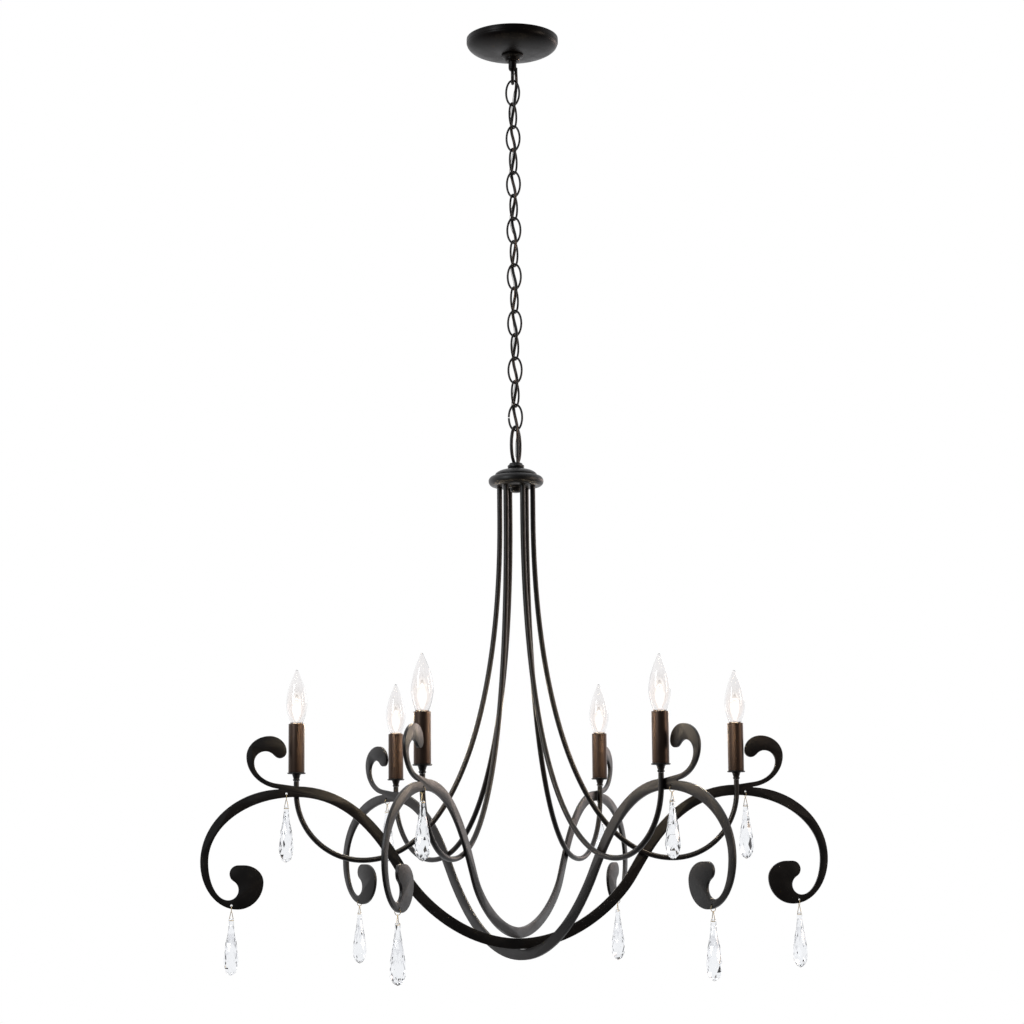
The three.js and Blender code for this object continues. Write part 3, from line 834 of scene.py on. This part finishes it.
def arm_route():
    """The first arm's centreline, from inside the hub out and up to its candle."""
    candle = settings("candle")
    low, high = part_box("arm_1")
    cup_low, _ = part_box("candle_cup_1")
    side = middle("candle_sleeve_1").y
    start, out = low.x + candle.arm, high.x - candle.arm
    seat, lowest = high.z, low.z + candle.arm
    leaves = hub_levels()["under"] - 0.045
    belly, rise = 0.227, 0.098
    quarter = 0.5523                    # handle of a curve that makes a quarter circle

    def at(u, z):
        return Vector((u, side, z))
    turn = out - belly
    spans = [(at(start, leaves), at(start, leaves - 0.3), at(start + 0.076, lowest), at(belly, lowest)),
             (at(belly, lowest), at(belly + quarter * turn, lowest),
              at(out, lowest + rise * (1 - quarter)), at(out, lowest + rise))]
    route = [at(start, seat), at(start, (seat + leaves) / 2)]
    for span, steps in zip(spans, (60, 30)):
        route += interpolate_bezier(*span, steps)[0 if len(route) == 2 else 1:]
    route.append(at(out, cup_low.z - GAP))
    return route


class CHANDELIER_OT_arms(Operator):
    """Six bent arm tubes"""
    bl_idname = "chandelier.arms"
    bl_label = "Arms"

    def execute(self, context):
        radius = settings("candle").arm
        route = arm_route()
        for number in range(1, arm_count + 1):
            bm = swept(bmesh.new(), route, radius, 20)
            piece(bm, f"arm_tube_{number}", "black", "fixture", [f"arm_{number}"],
                  turn=arm_turn(number), crease=50)
        return {"FINISHED"}


# --- candles
def cup_profile(size, low):
    """Knuckle, neck and flange of a candle cup, from its underside up."""
    flange = low + size.knuckle_height
    return rounded([
        (0, low), (size.arm + 0.0004, low, 0.0004), (size.arm + 0.0012, low + 0.0010, 0.0006),
        (size.arm + 0.0012, low + 0.0024, 0.0006), (size.arm + 0.0002, low + 0.0032, 0.0004),
        (size.arm + 0.0006, low + 0.0040, 0.0004), (size.knuckle - 0.0008, flange - 0.0022, 0.0008),
        (size.knuckle - 0.0010, flange - 0.0016, 0.0002), (size.knuckle, flange - 0.0010, 0.0004),
        (size.knuckle, flange, 0.0003), (size.flange - 0.0006, flange, 0.0005),
        (size.flange, flange + size.flange_height * 0.6, 0.0006),
        (size.flange - 0.0003, flange + size.flange_height, 0.0004),
        (size.holder, flange + size.flange_height), (0, flange + size.flange_height)])


class CHANDELIER_OT_candles(Operator):
    """Cups, lamp-holders and candle sleeves"""
    bl_idname = "chandelier.candles"
    bl_label = "Candles"

    def execute(self, context):
        size = settings("candle")
        for number in range(1, arm_count + 1):
            at = middle(f"candle_sleeve_{number}")
            place = (at.x, at.y, 0)
            cup_low, cup_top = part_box(f"candle_cup_{number}")
            low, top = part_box(f"candle_sleeve_{number}")
            cup = turned(cup_profile(size, cup_low.z), 48)
            piece(cup, f"cup_{number}", "black", "fixture", [f"candle_cup_{number}"], place=place)
            seat = cup_low.z + size.knuckle_height + size.flange_height + GAP
            floor = top.z - size.lamp_base - 2 * GAP
            holder = turned(rounded([
                (0, seat), (size.holder, seat, 0.0006), (size.holder, cup_top.z, 0.0008),
                (size.holder_bore, cup_top.z, 0.0004), (size.holder_bore, floor), (0, floor)]), 40)
            piece(holder, f"lamp_holder_{number}", "ceramic", "fixture", place=place)
            inner = size.sleeve - size.sleeve_wall
            sleeve = turned(rounded([
                (inner, low.z), (size.sleeve, low.z, 0.0004), (size.sleeve, (low.z + top.z) / 2),
                (size.sleeve, top.z, 0.0005), (inner, top.z, 0.0003), (inner, low.z)])[:-1], 64, closed=True)
            piece(sleeve, f"sleeve_{number}", "bronze", "fixture", [f"candle_sleeve_{number}"],
                  place=place)
        return {"FINISHED"}


# --- lamps
# the glass: share of its height, share of its widest radius
LAMP_CURVE = ((0, 0.58), (0.05, 0.665), (0.12, 0.785), (0.24, 0.935), (0.35, 1.0), (0.45, 0.975),
              (0.56, 0.885), (0.67, 0.745), (0.785, 0.54), (0.88, 0.345), (0.94, 0.22), (0.98, 0.115))
# shells of light: share of the lamp's radius, share of its height, finish
HALO = ((0.86, 0.74, "glow"), (0.72, 0.66, "glow"), (0.58, 0.62, "glow"), (0.44, 0.60, "heart"),
        (0.30, 0.54, "heart"))


def lamp_profile(size, seat, tip, inset=0.0):
    """The glass's outline from its neck to its tip."""
    height = tip - seat
    points = [Vector(((size.lamp - inset) * width, seat + up * height)) for up, width in LAMP_CURVE]
    curve = smooth_path([p.to_3d() for p in points + [Vector((0.0, seat + height))]], 4)
    return [(max(p.x, 0.0), p.y) for p in curve]


class CHANDELIER_OT_lamps(Operator):
    """Clear candle lamps: glass, stem, filament, glow and screw base"""
    bl_idname = "chandelier.lamps"
    bl_label = "Lamps"

    def execute(self, context):
        size = settings("candle")
        for number in range(1, arm_count + 1):
            node = f"bulb_{number}"
            low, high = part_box(node)
            at = middle(f"candle_sleeve_{number}")
            place = (at.x, at.y, 0)
            seat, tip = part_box(f"candle_sleeve_{number}")[1].z + GAP, high.z
            self.envelope(size, node, seat, tip, place)
            self.base(size, node, low.z, seat, place)
            self.inside(size, node, seat, tip, place, arm_turn(number))
        return {"FINISHED"}

    def envelope(self, size, node, seat, tip, place):
        wall = 0.0009
        outer = lamp_profile(size, seat, tip)
        inner = lamp_profile(size, seat + wall, tip - wall * 1.6, inset=wall)
        neck = size.lamp_neck
        outside = [(neck, seat - 0.0004), (neck + 0.0002, seat)] + outer
        inside = list(reversed(inner)) + [(neck - wall, seat), (neck - wall, seat - 0.0004)]
        glass = turned(outside + inside, 48, closed=True)
        made = piece(glass, f"{node}_glass", "glass", node, [node], place=place, crease=60)
        made.visible_shadow = False
        light = bpy.data.lights.new(f"{node}_light", "POINT")
        light.energy, light.color = size.lamp_power, settings("finish").glow
        light.shadow_soft_size = size.lamp * 0.5
        shine = placed(f"{node}_light", light)
        shine.location = (place[0], place[1], seat + (tip - seat) * 0.36)
        shine.parent = made
        shine.visible_camera = shine.visible_transmission = False

    def base(self, size, node, low, seat, place):
        neck = size.lamp_neck
        profile = [(0, low), (neck * 0.34, low), (neck * 0.42, low + 0.0008), (neck * 0.55, low + 0.0016),
                   (neck * 0.86, low + 0.0030)]
        pitch, top = 0.0026, seat - 0.0045
        z = low + 0.0034
        while z < top - pitch:
            profile += [(neck * 0.90, z), (neck * 0.985, z + pitch * 0.35), (neck * 0.985, z + pitch * 0.65)]
            z += pitch
        profile += [(neck * 0.93, top), (neck * 0.98, seat - 0.0012), (neck * 0.98, seat - 0.0005),
                    (0, seat - 0.0005)]
        piece(turned(profile, 40), f"{node}_cap", "brass", node, place=place, crease=50)

    def inside(self, size, node, seat, tip, place, turn):
        height = tip - seat
        stem = turned([(0, seat), (0.0032, seat), (0.0027, seat + height * 0.12),
                       (0.0021, seat + height * 0.20), (0, seat + height * 0.21)], 20)
        piece(stem, f"{node}_stem", "glass", node, place=place)
        wires = bmesh.new()
        top = seat + height * 0.40
        for side in (-1, 1):
            foot = Vector((side * 0.0012, 0, seat + height * 0.17))
            hook = Vector((side * 0.0058, 0, top))
            swept(wires, smooth_path([foot, (foot + hook) / 2 + Vector((side * 0.0012, 0, 0)), hook], 5),
                  0.00022, 8)
        loops, reach, rise, coil = 9, 0.0056, 0.0045, 0.0005
        path = []
        for k in range(loops * 8 + 1):
            t = k / (loops * 8)
            spin = t * loops * math.tau
            path.append(Vector((reach * (2 * t - 1), coil * math.cos(spin),
                                top + rise * math.sin(math.pi * t) + coil * math.sin(spin))))
        filament = swept(bmesh.new(), path, 0.00017, 6)
        piece(wires, f"{node}_wires", "brass", node, place=place, turn=turn)
        piece(filament, f"{node}_filament", "hot", node, place=place, turn=turn)
        self.halo(size, node, seat, tip, place)

    def halo(self, size, node, seat, tip, place):
        """Nested shells of thin light round the filament, so that it is softest at its edge."""
        height = tip - seat
        for k, (share, top, kind) in enumerate(HALO):
            low, high = seat + 0.0012 + 0.0006 * k, seat + height * top
            middle_z, half = (low + high) / 2, (high - low) / 2
            radius = size.lamp * share
            profile = []
            for point in ellipse(0, middle_z, radius, half, -90, 90, 18):
                fit = min(1.0, 0.55 + (point.y - seat) / height * 2.2)
                profile.append((max(point.x, 0) * fit, point.y))
            made = piece(turned(profile, 32), f"{node}_{kind}_{k + 1}", kind, node, place=place,
                         crease=180)
            made.visible_shadow = False
            warmth = made.data.attributes.new("warmth", "FLOAT", "POINT")
            for vert, value in zip(made.data.vertices, warmth.data):
                up = (vert.co.z - low) / (high - low)
                value.value = max(0.0, min(1.0, 1.35 * (1 - up)))


# --- crystals
# rows of corners: share of the drop's height, share of its widest radius
DROP_RINGS = ((0.0, 0.28), (0.03, 0.36), (0.12, 0.35), (0.27, 0.50), (0.43, 0.73), (0.60, 0.91),
              (0.74, 1.0), (0.86, 0.93), (0.945, 0.66), (0.982, 0.36))


def cut_drop(size):
    """A drop that hangs from the origin, cut in rows of three-cornered facets."""
    bm = bmesh.new()
    rows = []
    for k, (down, width) in enumerate(DROP_RINGS):
        turn = Matrix.Rotation(math.pi / size.sides * (k % 2), 4, "Z")
        at = Matrix.Translation((0, 0, -down * size.height)) @ turn
        made = bmesh.ops.create_circle(bm, cap_ends=False, radius=width * size.radius,
                                       segments=size.sides, matrix=at)
        rows.append(list({edge for vert in made["verts"] for edge in vert.link_edges}))
    for above, below in zip(rows, rows[1:]):
        walls = bmesh.ops.bridge_loops(bm, edges=above + below)["faces"]
        bmesh.ops.triangulate(bm, faces=walls, quad_method="SHORT_EDGE")
    bmesh.ops.contextual_create(bm, geom=rows[0])
    foot = bmesh.ops.contextual_create(bm, geom=rows[-1])["faces"]
    tip = bmesh.ops.poke(bm, faces=foot)["verts"]
    bmesh.ops.translate(bm, verts=tip, vec=(0, 0, -0.022 * size.height))
    return bm


def hanging_wires(size):
    """The ring through the plate's hole and the pin through the drop's neck."""
    bm = bmesh.new()
    centre = Vector((0, 0, -size.ring - 0.0002))
    ring = oval(centre, Vector((0, 1, 0)), 2 * size.ring + 2 * size.wire, 2 * size.ring + 2 * size.wire,
                size.wire, 28)
    swept(bm, ring, size.wire, 8, closed=True)
    top = centre.z - size.ring + 2 * size.wire + 0.0002
    low = -size.hang - 0.0028
    corners = [(0.0, top + 0.0012), (-0.0032, low), (0.0032, low)]
    path = []
    for i in range(3):
        here, before, after = (Vector(corners[j % 3]) for j in (i, i - 1, i + 1))
        path += bend(here.lerp(before, 0.22), here, here.lerp(after, 0.22), 5)
    return swept(bm, [Vector((p.x, 0, p.y)) for p in path], size.wire, 8, closed=True)


class CHANDELIER_OT_crystals(Operator):
    """Cut drops with their rings and pins"""
    bl_idname = "chandelier.crystals"
    bl_label = "Crystals"

    def execute(self, context):
        size = settings("drop")
        for number in range(1, arm_count + 1):
            for row in ("upper", "lower"):
                node = f"crystal_{row}_{number}"
                pivot = spot(node + "_swing")
                turn = arm_turn(number)
                top = pivot - Vector((0, 0, size.hang))
                piece(cut_drop(size), f"drop_{row}_{number}", "crystal", node, [node],
                      place=top, turn=turn, crease=1)
                piece(hanging_wires(size), f"pin_{row}_{number}", "gold", node,
                      place=pivot, turn=turn, crease=60)
        return {"FINISHED"}


# --- stage
FLOOR_LEVEL, FLOOR_RADIUS = -4.2, 12.0
SWEEP_TOWARDS = (0.0, 0.92, 0.38)
SWEEP = ((0.0, 0.07), (0.35, 0.12), (0.62, 0.75), (0.85, 1.0))
# name, place, size, watts and tint of each studio light
STUDIO = (("key", (-2.4, -1.9, 0.3), (0.7, 1.7), 30, (0.93, 0.97, 1.0)),
          ("fill", (2.6, -1.1, -0.5), (0.5, 1.5), 17, (1.0, 0.81, 0.66)),
          ("back", (2.55, 1.95, -0.30), (1.1, 0.8), 13, (1.0, 0.76, 0.68)))
STUDIO_AIM = Vector((0, 0, -0.95))


class CHANDELIER_OT_stage(Operator):
    """Floor, studio light and camera"""
    bl_idname = "chandelier.stage"
    bl_label = "Stage"

    def execute(self, context):
        self.floor()
        self.world(context.scene)
        self.lights()
        self.camera(context.scene)
        context.scene.view_settings.view_transform = "Standard"
        return {"FINISHED"}

    def floor(self):
        bm = bmesh.new()
        bmesh.ops.create_circle(bm, cap_ends=True, segments=128, radius=FLOOR_RADIUS,
                                matrix=Matrix.Translation((0, 0, FLOOR_LEVEL)))
        pale = Surface("pale_floor").set(Roughness=0.9, Emission_Color=(1, 1, 1, 1),
                                         Emission_Strength=0.25)
        pale.drive("Base Color", pale.ramp(pale.noise(3, 3), [(0.3, (0.89,) * 3), (0.7, (0.9,) * 3)]))
        floor = placed("floor", mesh_of(bm, "floor"))
        floor.data.materials.append(pale.material)
        floor.visible_glossy = floor.visible_diffuse = False

    def world(self, scene):
        """Plain white to look at, and for reflections a white sweep with one dim side."""
        world = bpy.data.worlds.new("studio")
        tree = Tree(world)
        along = tree.add("VectorMath")
        along.operation = "DOT_PRODUCT"
        along.inputs[1].default_value = SWEEP_TOWARDS
        tree.links.new(tree.add("TexCoord").outputs["Generated"], along.inputs[0])
        span = tree.add("MapRange", Value=along.outputs["Value"])
        span.inputs["From Min"].default_value = -1.0
        stops = [(position, (value, value, value * 1.02)) for position, value in SWEEP]
        sweep = tree.ramp(span.outputs["Result"], stops)
        ray = tree.add("LightPath")
        plain = tree.add("Math")
        plain.operation = "MAXIMUM"
        tree.links.new(ray.outputs["Is Camera Ray"], plain.inputs[0])
        tree.links.new(ray.outputs["Is Transmission Ray"], plain.inputs[1])
        mix = tree.add("Mix", Factor=plain.outputs[0])
        mix.data_type = "RGBA"
        tree.links.new(sweep, mix.inputs[6])
        mix.inputs[7].default_value = (1, 1, 1, 1)
        tree.links.new(mix.outputs[2], tree.nodes["Background"].inputs["Color"])
        scene.world = world

    def lights(self):
        for name, place, size, power, tint in STUDIO:
            lamp = bpy.data.lights.new(name, "AREA")
            lamp.shape = "RECTANGLE"
            lamp.size, lamp.size_y = size
            lamp.energy, lamp.color = power, tint
            made = placed(name, lamp)
            made.location = place
            made.rotation_euler = (STUDIO_AIM - Vector(place)).to_track_quat("-Z", "Y").to_euler()

    def camera(self, scene):
        turn, tilt, roll = math.radians(-7.6), math.radians(8.397), math.radians(0.483)
        distance, aside, height = 3.5, -0.0064, -1.2496
        back = Vector((math.sin(turn), -math.cos(turn), 0))
        right = Vector((math.cos(turn), math.sin(turn), 0))
        data = bpy.data.cameras.new("camera")
        data.sensor_width, data.lens = 36.0, 83.59
        data.clip_end = 50
        made = placed("camera", data)
        made.location = back * distance + right * aside + Vector((0, 0, height))
        sight = -back * math.cos(tilt) + Vector((0, 0, math.sin(tilt)))
        level = sight.to_track_quat("-Z", "Y").to_matrix()
        made.rotation_euler = (level @ Matrix.Rotation(-roll, 3, "Z")).to_euler()
        scene.camera = made


# --- add-on
OPERATORS = (CHANDELIER_OT_stage, CHANDELIER_OT_canopy, CHANDELIER_OT_chain, CHANDELIER_OT_cord,
             CHANDELIER_OT_hub, CHANDELIER_OT_plates, CHANDELIER_OT_arms, CHANDELIER_OT_candles,
             CHANDELIER_OT_lamps, CHANDELIER_OT_crystals)


class VIEW3D_PT_chandelier(Panel):
    """Buttons for the chandelier's pieces"""
    bl_label = "Chandelier"
    bl_space_type = "VIEW_3D"
    bl_region_type = "UI"
    bl_category = "Chandelier"

    def draw(self, context):
        for operator in OPERATORS:
            self.layout.operator(operator.bl_idname)
        for group, kind in SETTINGS.items():
            box = self.layout.box()
            box.label(text=kind.__doc__)
            for name in kind.__annotations__:
                box.prop(getattr(context.scene, "chandelier_" + group), name)


CLASSES = (*SETTINGS.values(), *OPERATORS, VIEW3D_PT_chandelier)


def register():
    for kind in CLASSES:
        bpy.utils.register_class(kind)
    for group, kind in SETTINGS.items():
        setattr(bpy.types.Scene, "chandelier_" + group, PointerProperty(type=kind))


def unregister():
    for group in SETTINGS:
        delattr(bpy.types.Scene, "chandelier_" + group)
    for kind in reversed(CLASSES):
        bpy.utils.unregister_class(kind)


def main():
    register()
    for operator in OPERATORS:
        group, name = operator.bl_idname.split(".")
        getattr(getattr(bpy.ops, group), name)()


if __name__ == "__main__":
    main()
